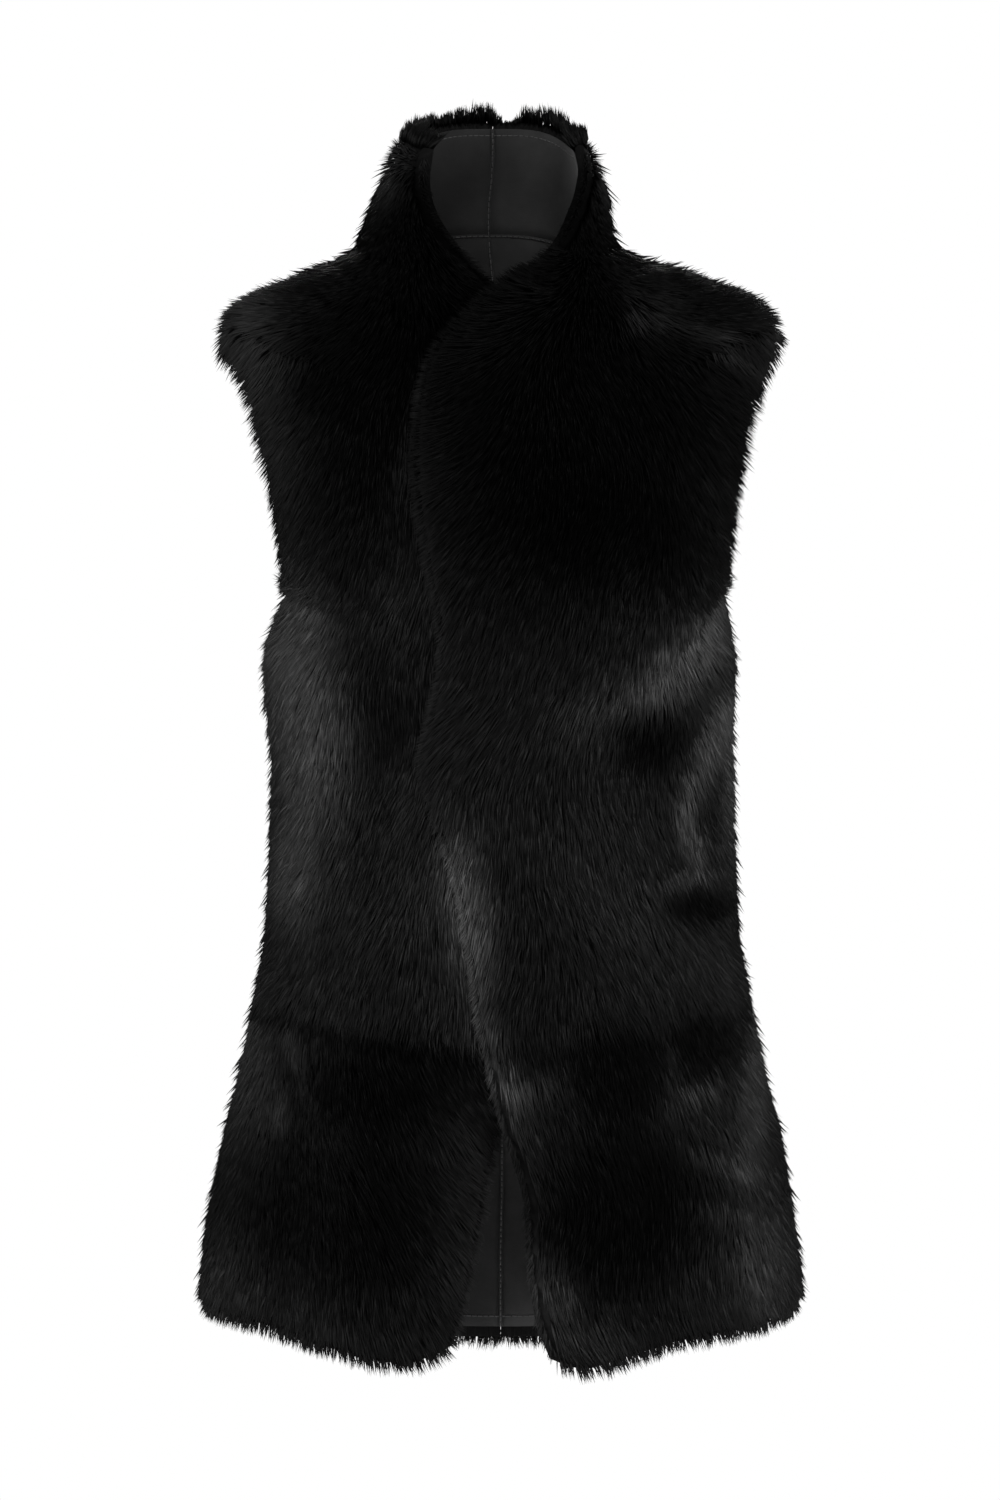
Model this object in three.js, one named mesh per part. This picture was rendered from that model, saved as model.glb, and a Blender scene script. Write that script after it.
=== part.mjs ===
// A long sheepskin gilet, filled out as when it is worn: wool outside, skin side inside, with a
// standing collar, open armholes, fronts that lap left over right, and a flared skirt below the
// hip seam. Millimetres, +Z up, the front faces -Y and the wearer's left is +X. The origin lies
// between the shoulders, where the shoulder seams meet the neck.
//
// One smooth surface holds the whole skin side. A place on it is an angle round the body, 0 at
// the front, +90 at the wearer's left and 180 at the back, and "up", the way along the garment
// from its hem. Each panel is a patch of that surface with the thickness of the sheepskin.
import * as THREE from 'three';

// Sheepskin: the skin and the wool on it, and how far the wool spills over a free edge.
const WOOL_HEIGHT = 18;
const COLLAR_WOOL = 20;
const PRESSED_WOOL = 8;
const EDGE_SPILL = 15;
const CORNER_LOSS = 0.45;
const COLLAR_TOP_SPILL = 0.55;
const SEAM_GAP = 0.3;
const NECK_SEAM_GAP = 0.9;
const LAP_GAP = 0.8;

// How near its other front's edge a front's wool is wholly pressed or lifted, and where it begins.
const LAP_FULL = 22;
const LAP_START = 54;

// Ways up the garment, measured from the hem at the side.
const HIP_SEAM = 235;
const ARMHOLE_BOTTOM = 550;
const SHOULDER_TIP = 745;
const NECK_SEAM = 860;
const COLLAR_TOP = 960;

const ARMHOLE_HALF_ANGLE = 18;
const ARMHOLE_ROUNDNESS = 0.42;
const ARMHOLE_BEND = 4;
const COLLAR_CORNER_DROP = 8;
const UNDER_CORNER = { rise: 20, span: 0.17 };
const OVER_CORNER = { rise: 12, span: 0.1 };

// The skin side's section at each way up: half widths to the side, front and back, the height of
// each, how square the section is, how its height falls away from the sides, and how far it leans
// to the wearer's left.
const SECTIONS = [
  { up: 0, sideX: 206, sideZ: -764, frontY: 150, frontZ: -817, backY: 136, backZ: -811, square: 2.2, fall: 0.9, lean: -1 },
  { up: 60, sideX: 198, sideZ: -705, frontY: 143, frontZ: -750, backY: 130, backZ: -750, square: 2.25, fall: 1.3, lean: -1 },
  { up: 115, sideX: 188, sideZ: -652, frontY: 136, frontZ: -690, backY: 124, backZ: -693, square: 2.3, fall: 1.7, lean: 0 },
  { up: 175, sideX: 175, sideZ: -597, frontY: 128, frontZ: -628, backY: 117, backZ: -632, square: 2.4, fall: 2.1, lean: 0 },
  { up: 235, sideX: 164, sideZ: -540, frontY: 121, frontZ: -569, backY: 111, backZ: -572, square: 2.45, fall: 2.4, lean: 0 },
  { up: 280, sideX: 157, sideZ: -496, frontY: 115, frontZ: -522, backY: 104, backZ: -524, square: 2.5, fall: 2.6, lean: 0 },
  { up: 400, sideX: 153, sideZ: -378, frontY: 107, frontZ: -400, backY: 94, backZ: -400, square: 2.5, fall: 3, lean: 0 },
  { up: 490, sideX: 155, sideZ: -300, frontY: 114, frontZ: -315, backY: 97, backZ: -312, square: 2.5, fall: 3, lean: -2 },
  { up: 550, sideX: 148, sideZ: -246, frontY: 122, frontZ: -256, backY: 101, backZ: -250, square: 2.5, fall: 3, lean: 2 },
  { up: 610, sideX: 160, sideZ: -186, frontY: 121, frontZ: -205, backY: 103, backZ: -196, square: 2.6, fall: 3, lean: 2 },
  { up: 690, sideX: 180, sideZ: -108, frontY: 112, frontZ: -157, backY: 101, backZ: -138, square: 2.6, fall: 3, lean: 0 },
  { up: 745, sideX: 187, sideZ: -56, frontY: 104, frontZ: -116, backY: 94, backZ: -92, square: 2.5, fall: 3, lean: -1 },
  { up: 800, sideX: 138, sideZ: -31, frontY: 97, frontZ: -66, backY: 83, backZ: -36, square: 2.3, fall: 3, lean: -4 },
  { up: 835, sideX: 103, sideZ: -17, frontY: 91, frontZ: -35, backY: 74, backZ: -4, square: 2.1, fall: 3, lean: -8 },
  { up: 860, sideX: 82, sideZ: 0, frontY: 85, frontZ: -12, backY: 68, backZ: 22, square: 2.05, fall: 3, lean: -10 },
  { up: 885, sideX: 73, sideZ: 22, frontY: 77, frontZ: 10, backY: 66, backZ: 44, square: 2, fall: 3, lean: -10 },
  { up: 910, sideX: 68, sideZ: 42, frontY: 70, frontZ: 30, backY: 67, backZ: 65, square: 2, fall: 3, lean: -8 },
  { up: 935, sideX: 64, sideZ: 60, frontY: 64, frontZ: 49, backY: 69, backZ: 85, square: 2, fall: 3, lean: -7 },
  { up: 960, sideX: 59, sideZ: 78, frontY: 58, frontZ: 68, backY: 68, backZ: 103, square: 2, fall: 3, lean: -7 },
];

// The two front edges, as angles: the right front lies under, the left front laps over it.
const FRONT_EDGES = [
  { up: 0, under: -18, over: 17 },
  { up: 37, under: -14.5, over: 13 },
  { up: 75, under: -11.5, over: 11 },
  { up: 118, under: -9, over: 10 },
  { up: 145, under: -7.5, over: 7 },
  { up: 176, under: -4, over: 2.5 },
  { up: 235, under: 2, over: -3.5 },
  { up: 329, under: 9, over: -11.5 },
  { up: 400, under: 14, over: -22 },
  { up: 429, under: 16, over: -23.5 },
  { up: 500, under: 18, over: -16 },
  { up: 577, under: 21, over: -20.5 },
  { up: 650, under: 21, over: -24.5 },
  { up: 750, under: 15, over: -24.5 },
  { up: 780, under: 12, over: -19 },
  { up: 800, under: 8, over: -11 },
  { up: 818, under: 3, over: -1 },
  { up: 832, under: -4, over: 11 },
  { up: 846, under: -11, over: 24 },
  { up: 860, under: -18, over: 36 },
  { up: 875, under: -26, over: 46 },
  { up: 893, under: -36, over: 56 },
  { up: 912, under: -44, over: 66 },
  { up: 935, under: -49, over: 77 },
  { up: 960, under: -50, over: 86 },
];

// The largest soft folds: each runs from one place to another, is a ridge where its height is
// above 0 and a trough below, and fades out at its ends.
const FOLDS = [
  { name: 'right side ridge', lowUp: 300, lowAngle: -56, highUp: 540, highAngle: -50, halfWidth: 9, height: 6 },
  { name: 'right side hollow', lowUp: 290, lowAngle: -40, highUp: 520, highAngle: -34, halfWidth: 8, height: -4 },
  { name: 'left bust fold', lowUp: 440, lowAngle: 36, highUp: 560, highAngle: 72, halfWidth: 9, height: -6 },
  { name: 'left waist ridge', lowUp: 330, lowAngle: 56, highUp: 520, highAngle: 74, halfWidth: 8, height: 6 },
  { name: 'left waist dent', lowUp: 280, lowAngle: 64, highUp: 400, highAngle: 58, halfWidth: 9, height: -7 },
  { name: 'right hem flute', lowUp: -60, lowAngle: -34, highUp: 220, highAngle: -40, halfWidth: 11, height: 7 },
  { name: 'right hem hollow', lowUp: -60, lowAngle: -57, highUp: 210, highAngle: -58, halfWidth: 10, height: -7 },
  { name: 'left hem hollow', lowUp: -60, lowAngle: 38, highUp: 240, highAngle: 44, halfWidth: 10, height: -8 },
  { name: 'left hem flute', lowUp: -60, lowAngle: 60, highUp: 230, highAngle: 62, halfWidth: 10, height: 8 },
  { name: 'back right flute', lowUp: -60, lowAngle: -148, highUp: 300, highAngle: -144, halfWidth: 12, height: 8 },
  { name: 'back left flute', lowUp: -60, lowAngle: 146, highUp: 320, highAngle: 142, halfWidth: 12, height: 9 },
  { name: 'back right hollow', lowUp: 250, lowAngle: -128, highUp: 520, highAngle: -118, halfWidth: 10, height: -6 },
  { name: 'back left hollow', lowUp: 270, lowAngle: 132, highUp: 500, highAngle: 122, halfWidth: 11, height: -6 },
];

// How finely each panel is divided: lines of points up the garment and round the body.
const ROWS_SKIRT = [0, 30, 75, 125, 180, HIP_SEAM];
const ROWS_BODY = [HIP_SEAM, 290, 345, 400, 440, 490, 530];
const ROWS_ARMHOLE = [ARMHOLE_BOTTOM, 558, 575, 605, 650, 695, 722, 738];
const ROWS_SHOULDER = [SHOULDER_TIP, 770, 795, 815, 830, 845, NECK_SEAM];
const ROWS_COLLAR = [NECK_SEAM, 880, 905, 930, 948, COLLAR_TOP];
const FRONT_COLUMNS = 14;
const BACK_COLUMNS = 12;

const ease = (from, to, x) => {
  const t = Math.min(1, Math.max(0, (x - from) / (to - from)));
  return t * t * (3 - 2 * t);
};

// A column of a table at any way up, on one smooth curve through the table's rows.
function along(table, column, up) {
  const last = table.length - 1;
  const x = Math.min(table[last].up, Math.max(table[0].up, up));
  let i = 0;
  while (i < last - 1 && table[i + 1].up < x) i += 1;
  const slope = (k) => {
    const a = table[Math.max(0, k - 1)];
    const b = table[Math.min(last, k + 1)];
    return (b[column] - a[column]) / (b.up - a.up);
  };
  const span = table[i + 1].up - table[i].up;
  const t = (x - table[i].up) / span;
  const bend = t * (1 - t) * span;
  const straight = table[i][column] * (1 - t) ** 2 * (1 + 2 * t)
    + table[i + 1][column] * t ** 2 * (3 - 2 * t);
  return straight + bend * ((1 - t) * slope(i) - t * slope(i + 1));
}

function foldHeight(angle, up) {
  let height = 0;
  for (const fold of FOLDS) {
    const t = (up - fold.lowUp) / (fold.highUp - fold.lowUp);
    if (t <= 0 || t >= 1) continue;
    const line = fold.lowAngle + (fold.highAngle - fold.lowAngle) * t;
    const across = (angle - line) / fold.halfWidth;
    height += fold.height * Math.sin(Math.PI * t) * Math.exp(-across * across);
  }
  return height;
}

// A point of the skin side.
function skinPoint(angle, up) {
  const turn = THREE.MathUtils.degToRad(angle);
  const sine = Math.sin(turn);
  const cosine = Math.cos(turn);
  const front = cosine >= 0;
  const sideX = along(SECTIONS, 'sideX', up);
  const sideZ = along(SECTIONS, 'sideZ', up);
  const depthY = along(SECTIONS, front ? 'frontY' : 'backY', up);
  const middleZ = along(SECTIONS, front ? 'frontZ' : 'backZ', up);
  const square = along(SECTIONS, 'square', up);
  const fall = front ? along(SECTIONS, 'fall', up) : 3;
  const reach = (Math.abs(sine / sideX) ** square + Math.abs(cosine / depthY) ** square) ** (-1 / square);
  const radius = reach + foldHeight(angle, up);
  return new THREE.Vector3(
    radius * sine + along(SECTIONS, 'lean', up),
    -radius * cosine,
    sideZ + (middleZ - sideZ) * (1 - Math.abs(sine) ** fall),
  );
}

// The outward direction of the skin side at a place.
function skinNormal(angle, up) {
  const angleStep = 0.5;
  const upStep = 1;
  const low = Math.max(0, up - upStep);
  const high = Math.min(COLLAR_TOP, up + upStep);
  const across = skinPoint(angle + angleStep, up).sub(skinPoint(angle - angleStep, up));
  const upward = skinPoint(angle, high).sub(skinPoint(angle, low));
  return across.cross(upward).normalize();
}

// The height of the wool: full on the body, fuller on the collar.
const woolHeight = (angle, up) => WOOL_HEIGHT + (COLLAR_WOOL - WOOL_HEIGHT) * ease(NECK_SEAM, NECK_SEAM + 40, up);

// The angle of a length along the front at a way up.
const frontAngle = (length, up) => THREE.MathUtils.radToDeg(length / along(SECTIONS, 'frontY', up));

// Under the lapping front the right front's wool is pressed flat.
function underWool(angle, up) {
  const edge = along(FRONT_EDGES, 'over', up);
  const full = woolHeight(angle, up);
  const pressed = ease(edge - frontAngle(LAP_START, up), edge - frontAngle(LAP_FULL, up), angle);
  return full + (PRESSED_WOOL - full) * pressed;
}

// The left front is lifted over the right one, and comes down to the body beside it.
function lapLift(angle, up) {
  const edge = along(FRONT_EDGES, 'under', up);
  const down = ease(edge + frontAngle(LAP_FULL, up), edge + frontAngle(LAP_START, up), angle);
  return (PRESSED_WOOL + LAP_GAP) * (1 - down);
}

// Half the armhole's opening as an angle, 0 below and above it.
function armholeAngle(up) {
  const t = (up - ARMHOLE_BOTTOM) / (SHOULDER_TIP - ARMHOLE_BOTTOM);
  return t <= 0 || t >= 1 ? 0 : ARMHOLE_HALF_ANGLE * (4 * t * (1 - t)) ** ARMHOLE_ROUNDNESS;
}

// A panel's wall: two grids of points, skin side and wool side, joined round the rim. Two more
// lines of points round the rim carry the wool's round spill over the free edges.
// rows: ways up. sides(up, s): the angle at s, from 0 at the panel's first side to 1 at its last.
// rise(up, s): the way up with a rounded corner. lift and wool: heights over the skin side. free: how free each of the four
// rims is at a way up, from 0 at a seam to 1.
function panelGeometry({ rows, columns, sides, rise, lift, wool, free }) {
  const lastRow = rows.length - 1;
  const gridSize = rows.length * (columns + 1);

  const place = (s, row) => {
    const up = rise(row, s);
    return [sides(up, s), up];
  };
  const lifted = (s, row) => {
    const [angle, up] = place(s, row);
    return skinPoint(angle, up).addScaledVector(skinNormal(angle, up), lift(angle, up));
  };

  const skin = [];
  const wools = [];
  for (const row of rows) {
    for (let i = 0; i <= columns; i += 1) {
      const [angle, up] = place(i / columns, row);
      const base = lifted(i / columns, row);
      skin.push(base);
      wools.push(base.clone().addScaledVector(skinNormal(angle, up), wool(angle, up)));
    }
  }

  // The way the wool spills from a point of the rim: away from the panel, along the skin. It
  // spills less at a corner between two free rims, which rounds the corner.
  const spillAt = (i, j) => {
    const s = i / columns;
    const row = rows[j];
    const [angle, up] = place(s, row);
    const normal = skinNormal(angle, up);
    const spill = new THREE.Vector3();
    let sideways = 0;
    let endways = 0;
    if (i === 0 || i === columns) {
      sideways = i === 0 ? free.first(up) : free.last(up);
      const upward = lifted(s, row + 1).sub(lifted(s, row - 1));
      const away = upward.cross(normal).normalize();
      spill.addScaledVector(away, i === 0 ? -sideways : sideways);
    }
    if (j === 0 || j === lastRow) {
      const before = Math.max(0, s - 0.01);
      const after = Math.min(1, s + 0.01);
      const across = lifted(after, row).sub(lifted(before, row));
      const away = normal.clone().cross(across).normalize();
      endways = j === 0 ? free.low : free.high;
      spill.addScaledVector(away, j === 0 ? -endways : endways);
    }
    return spill.multiplyScalar(EDGE_SPILL * (1 - CORNER_LOSS * sideways * endways));
  };

  // The rim, anticlockwise as seen from outside. Its second half, the top and the first side, is
  // divided along the other diagonal, so that two panels have the same faces along their seam.
  const rim = [];
  for (let i = 0; i < columns; i += 1) rim.push([i, 0]);
  for (let j = 0; j < lastRow; j += 1) rim.push([columns, j]);
  for (let i = columns; i > 0; i -= 1) rim.push([i, lastRow]);
  for (let j = lastRow; j > 0; j -= 1) rim.push([0, j]);

  const at = (i, j) => j * (columns + 1) + i;
  const lowLine = [];
  const highLine = [];
  for (const [i, j] of rim) {
    const spill = spillAt(i, j);
    const low = skin[at(i, j)];
    const high = wools[at(i, j)];
    lowLine.push(low.clone().lerp(high, 0.22).addScaledVector(spill, 0.8));
    highLine.push(low.clone().lerp(high, 0.7).addScaledVector(spill, 1));
  }

  const index = [];
  const quad = (a, b, c, d) => index.push(a, b, c, a, c, d);
  for (let j = 0; j < lastRow; j += 1) {
    for (let i = 0; i < columns; i += 1) {
      const corners = [at(i, j), at(i + 1, j), at(i + 1, j + 1), at(i, j + 1)];
      quad(...corners.map((k) => gridSize + k));
      quad(...corners.reverse());
    }
  }
  for (let k = 0; k < rim.length; k += 1) {
    const next = (k + 1) % rim.length;
    const here = at(...rim[k]);
    const there = at(...rim[next]);
    const lines = [
      [here, there],
      [2 * gridSize + k, 2 * gridSize + next],
      [2 * gridSize + rim.length + k, 2 * gridSize + rim.length + next],
      [gridSize + here, gridSize + there],
    ];
    for (let n = 0; n < lines.length - 1; n += 1) {
      const corners = [lines[n][0], lines[n][1], lines[n + 1][1], lines[n + 1][0]];
      if (k >= rim.length / 2) corners.push(corners.shift());
      quad(...corners);
    }
  }

  const positions = [...skin, ...wools, ...lowLine, ...highLine].flatMap((p) => p.toArray());
  const geometry = new THREE.BufferGeometry();
  geometry.setAttribute('position', new THREE.Float32BufferAttribute(positions, 3));
  geometry.setIndex(index);
  geometry.computeVertexNormals();
  return geometry;
}

const sheepskin = new THREE.MeshStandardMaterial({ color: 0x08080a, roughness: 0.75, metalness: 0 });

function panel(name, options) {
  const mesh = new THREE.Mesh(panelGeometry(options), sheepskin.clone());
  mesh.name = name;
  return mesh;
}

// Half the seam gap as an angle, on the panel's own side of a seam.
function gapAngle(angle, up) {
  const arm = skinPoint(angle, up);
  return THREE.MathUtils.radToDeg(SEAM_GAP / 2 / Math.hypot(arm.x, arm.y));
}

// Rows drawn in by half the gap of the seam at each end of a panel.
function seamRows(rows, lowGap, highGap) {
  const drawn = [...rows];
  drawn[0] += lowGap / 2;
  drawn[drawn.length - 1] -= highGap / 2;
  return drawn;
}

// Angles in even steps from a panel's middle or front edge to its side. Near the side they bend
// back round the armhole. sign is +1 on the wearer's left, toFront +1 for a front, -1 for a back.
function towardsSide(from, sign, toFront) {
  return (up, s) => {
    const side = sign * (90 - toFront * gapAngle(90, up));
    return from(up) + (side - from(up)) * s - sign * toFront * armholeAngle(up) * s ** ARMHOLE_BEND;
  };
}

const backwards = (angles) => (up, s) => angles(up, 1 - s);

const seam = () => 0;
const edge = () => 1;
const armholeFree = (up) => Math.min(1, armholeAngle(up) / ARMHOLE_HALF_ANGLE) ** 2;
const level = (up) => up;
const flat = () => 0;

// A front, above or below the hip seam. sign is +1 for the left front, which laps over.
function frontPanel(name, sign, rows, lowSeam) {
  const over = sign > 0;
  const frontEdge = (up) => along(FRONT_EDGES, over ? 'over' : 'under', up);
  const roundedCorner = (up, s) => {
    const { rise, span } = over ? OVER_CORNER : UNDER_CORNER;
    const fromEdge = over ? s : 1 - s;
    const corner = Math.max(0, 1 - fromEdge / span) ** 2;
    return up + rise * corner * Math.max(0, 1 - up / HIP_SEAM) ** 2;
  };
  return panel(name, {
    rows: lowSeam ? seamRows(rows, SEAM_GAP, NECK_SEAM_GAP) : seamRows(rows, 0, SEAM_GAP),
    columns: FRONT_COLUMNS,
    sides: over ? towardsSide(frontEdge, 1, 1) : backwards(towardsSide(frontEdge, -1, 1)),
    rise: lowSeam ? level : roundedCorner,
    lift: over ? lapLift : flat,
    wool: over ? woolHeight : underWool,
    free: {
      first: over ? edge : armholeFree,
      last: over ? armholeFree : edge,
      low: lowSeam ? 0 : 1,
      high: 0,
    },
  });
}

// A back half, in one piece from hem to neck seam.
function backPanel(name, sign) {
  const rows = [...ROWS_SKIRT, ...ROWS_BODY.slice(1), ...ROWS_ARMHOLE, ...ROWS_SHOULDER];
  const middle = (up) => sign * (180 - gapAngle(180, up));
  return panel(name, {
    rows: seamRows(rows, 0, NECK_SEAM_GAP),
    columns: BACK_COLUMNS,
    sides: sign > 0 ? backwards(towardsSide(middle, 1, -1)) : towardsSide(middle, -1, -1),
    rise: level,
    lift: flat,
    wool: woolHeight,
    free: {
      first: sign > 0 ? armholeFree : seam,
      last: sign > 0 ? seam : armholeFree,
      low: 1,
      high: 0,
    },
  });
}

// A half of the standing collar, from the back seam round to the front edge. Its columns meet
// those of the front and back below it.
function collarPanel(name, sign) {
  const over = sign > 0;
  const frontEdge = (up) => along(FRONT_EDGES, over ? 'over' : 'under', up);
  const middle = (up) => sign * (180 - gapAngle(180, up));
  const share = FRONT_COLUMNS / (FRONT_COLUMNS + BACK_COLUMNS);
  const shoulder = sign * 90;
  const fromEdge = (up, s) => (s < share
    ? frontEdge(up) + (shoulder - frontEdge(up)) * (s / share)
    : shoulder + (middle(up) - shoulder) * ((s - share) / (1 - share)));
  const roundedTop = (up, s) => {
    const corner = Math.max(0, 1 - (over ? s : 1 - s) / share) ** 2;
    return up - COLLAR_CORNER_DROP * corner * ease(NECK_SEAM, COLLAR_TOP, up);
  };
  return panel(name, {
    rows: seamRows(ROWS_COLLAR, NECK_SEAM_GAP, 0),
    columns: FRONT_COLUMNS + BACK_COLUMNS,
    sides: over ? fromEdge : backwards(fromEdge),
    rise: roundedTop,
    lift: over ? lapLift : flat,
    wool: over ? woolHeight : underWool,
    free: {
      first: over ? edge : seam,
      last: over ? seam : edge,
      low: 0,
      high: COLLAR_TOP_SPILL,
    },
  });
}

const gilet = new THREE.Group();
const upperRows = [...ROWS_BODY, ...ROWS_ARMHOLE, ...ROWS_SHOULDER];
gilet.add(
  frontPanel('front_left_upper', 1, upperRows, true),
  frontPanel('front_left_skirt', 1, ROWS_SKIRT, false),
  frontPanel('front_right_upper', -1, upperRows, true),
  frontPanel('front_right_skirt', -1, ROWS_SKIRT, false),
  backPanel('back_left', 1),
  backPanel('back_right', -1),
  collarPanel('collar_left', 1),
  collarPanel('collar_right', -1),
);

export default gilet;
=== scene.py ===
"""A long sheepskin gilet in near-black wool: wool outside, suede inside, worn and open at the neck.

Sizes are in millimetres until a piece is placed. A place on the skin side is an angle round the
body, 0 at the front and +90 at the wearer's left, and "up", the way up the garment from its hem.
"""

import math

import bmesh
import bpy
import numpy as np
from mathutils import Matrix, Vector
from mathutils.kdtree import KDTree


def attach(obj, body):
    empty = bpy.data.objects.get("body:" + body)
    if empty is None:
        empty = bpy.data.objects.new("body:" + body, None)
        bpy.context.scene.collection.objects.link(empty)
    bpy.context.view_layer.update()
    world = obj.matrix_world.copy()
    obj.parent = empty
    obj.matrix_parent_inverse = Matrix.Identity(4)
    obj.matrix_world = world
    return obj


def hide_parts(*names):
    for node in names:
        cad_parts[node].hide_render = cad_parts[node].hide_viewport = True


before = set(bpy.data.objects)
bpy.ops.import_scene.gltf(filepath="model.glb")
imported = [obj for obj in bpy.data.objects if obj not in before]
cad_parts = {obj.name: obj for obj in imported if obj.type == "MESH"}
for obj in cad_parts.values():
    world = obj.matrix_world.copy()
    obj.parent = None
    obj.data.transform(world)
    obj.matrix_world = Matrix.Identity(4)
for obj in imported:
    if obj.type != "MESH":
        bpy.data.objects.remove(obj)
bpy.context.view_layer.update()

MM = 0.001

# Camera: 3.2 m in front of the chest line, level, at the height of the picture's middle.
CAMERA_PLACE = (-0.0015, -3.2, -0.3663)
FOCAL_PIXELS = 4324
FRAME_HEIGHT = 1500

# Sheepskin: the wool's height, the skin's thickness, and how far wool spills over a free edge.
WOOL_HEIGHT = 18
COLLAR_WOOL = 20
PRESSED_WOOL = 8
SKIN_THICK = 1.4
EDGE_SPILL = 15
CORNER_LOSS = 0.45
COLLAR_TOP_SPILL = 0.55
SEAM_GAP = 0.3
NECK_SEAM_GAP = 0.9
LAP_GAP = 0.8
LAP_FULL = 22
LAP_START = 54

# Ways up the garment.
HIP_SEAM = 235
ARMHOLE_BOTTOM = 550
SHOULDER_TIP = 745
NECK_SEAM = 860
COLLAR_TOP = 960

ARMHOLE_HALF_ANGLE = 18
ARMHOLE_ROUNDNESS = 0.42
ARMHOLE_BEND = 4
COLLAR_CORNER_DROP = 8
COLLAR_FRONT_SHARE = 14 / 26
UNDER_CORNER = (20, 0.17)
OVER_CORNER = (12, 0.1)

# The undercoat fills this share of the wool's height, and the wool's strands start in it.
UNDERCOAT = 0.56
STRAND_ROOT = 0.46
STRAND_LENGTH = (20, 32)
STRAND_WIDTH = 0.8
STRAND_BOW = 0.05
STRANDS_PER_CM2 = {"front": 30, "back": 21, "collar": 30}
EDGE_STRANDS_PER_CM = 40
OVERHANG = (4, 12)
ARMHOLE_OVERHANG_SHARE = 0.3
LOCK_STRANDS = 14
BLADE_WIDEST = 0.42
COPY_STEP = 4
FIRST_SEED = 100
TONE_SPREAD = 0.24
LOCK_TONE_SPREAD = 0.12
ROOT_SHADE = 1.1

# Wool round the rims: how far it reaches, and how much denser it stands at the collar's top.
RIM_REACH = {"low": 17, "high": 25, "first": 13, "last": 13}
TOP_CROWD = 3.4
FOOT_REACH = 15

# Slabs of skin and undercoat: the grid's spacing in metres, the undercoat's layers and its spill.
SLAB_COLUMN = 0.008
SLAB_ROW = 0.012
UNDERCOAT_LAYERS = 5
UNDERCOAT_SPILL = 0.62

# Seams on the skin side: the ridge's radius, how far inside it sits, and its stitches.
RIDGE_RADIUS = 1.3
RIDGE_INSIDE = 0.3
STITCH_PITCH = 4.4
STITCH_LENGTH = 0.8 * STITCH_PITCH
STITCH_RADIUS = 0.45
TOPSTITCH_INSIDE = 0.1

# The flat cut of each panel: width, length and area, in metres and square metres.
CUTS = {
    "front_left_upper": (0.31, 0.66, 0.14),
    "front_left_skirt": (0.27, 0.26, 0.056),
    "front_right_upper": (0.3, 0.66, 0.133),
    "front_right_skirt": (0.27, 0.26, 0.055),
    "back_left": (0.28, 0.9, 0.177),
    "back_right": (0.28, 0.9, 0.176),
    "collar_left": (0.16, 0.105, 0.0115),
    "collar_right": (0.18, 0.105, 0.0139),
}


def named_table(names, rows):
    """A short table as columns by name."""
    return {name: np.array([row[k] for row in rows], float) for k, name in enumerate(names.split())}


# The skin side's section at each way up, as the solids have it.
SECTIONS = named_table("up side_x side_z front_y front_z back_y back_z square fall lean", [
    (0, 206, -764, 150, -817, 136, -811, 2.2, 0.9, -1),
    (60, 198, -705, 143, -750, 130, -750, 2.25, 1.3, -1),
    (115, 188, -652, 136, -690, 124, -693, 2.3, 1.7, 0),
    (175, 175, -597, 128, -628, 117, -632, 2.4, 2.1, 0),
    (235, 164, -540, 121, -569, 111, -572, 2.45, 2.4, 0),
    (280, 157, -496, 115, -522, 104, -524, 2.5, 2.6, 0),
    (400, 153, -378, 107, -400, 94, -400, 2.5, 3, 0),
    (490, 155, -300, 114, -315, 97, -312, 2.5, 3, -2),
    (550, 148, -246, 122, -256, 101, -250, 2.5, 3, 2),
    (610, 160, -186, 121, -205, 103, -196, 2.6, 3, 2),
    (690, 180, -108, 112, -157, 101, -138, 2.6, 3, 0),
    (745, 187, -56, 104, -116, 94, -92, 2.5, 3, -1),
    (800, 138, -31, 97, -66, 83, -36, 2.3, 3, -4),
    (835, 103, -17, 91, -35, 74, -4, 2.1, 3, -8),
    (860, 82, 0, 85, -12, 68, 22, 2.05, 3, -10),
    (885, 73, 22, 77, 10, 66, 44, 2, 3, -10),
    (910, 68, 42, 70, 30, 67, 65, 2, 3, -8),
    (935, 64, 60, 64, 49, 69, 85, 2, 3, -7),
    (960, 59, 78, 58, 68, 68, 103, 2, 3, -7),
])

# The two front edges, as angles: the right front lies under, the left front laps over it.
FRONT_EDGES = named_table("up under over", [
    (0, -18, 17),
    (37, -14.5, 13),
    (75, -11.5, 11),
    (118, -9, 10),
    (145, -7.5, 7),
    (176, -4, 2.5),
    (235, 2, -3.5),
    (329, 9, -11.5),
    (400, 14, -22),
    (429, 16, -23.5),
    (500, 18, -16),
    (577, 21, -20.5),
    (650, 21, -24.5),
    (750, 15, -24.5),
    (780, 12, -19),
    (800, 8, -11),
    (818, 3, -1),
    (832, -4, 11),
    (846, -11, 24),
    (860, -18, 36),
    (875, -26, 46),
    (893, -36, 56),
    (912, -44, 66),
    (935, -49, 77),
    (960, -50, 86),
])

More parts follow.
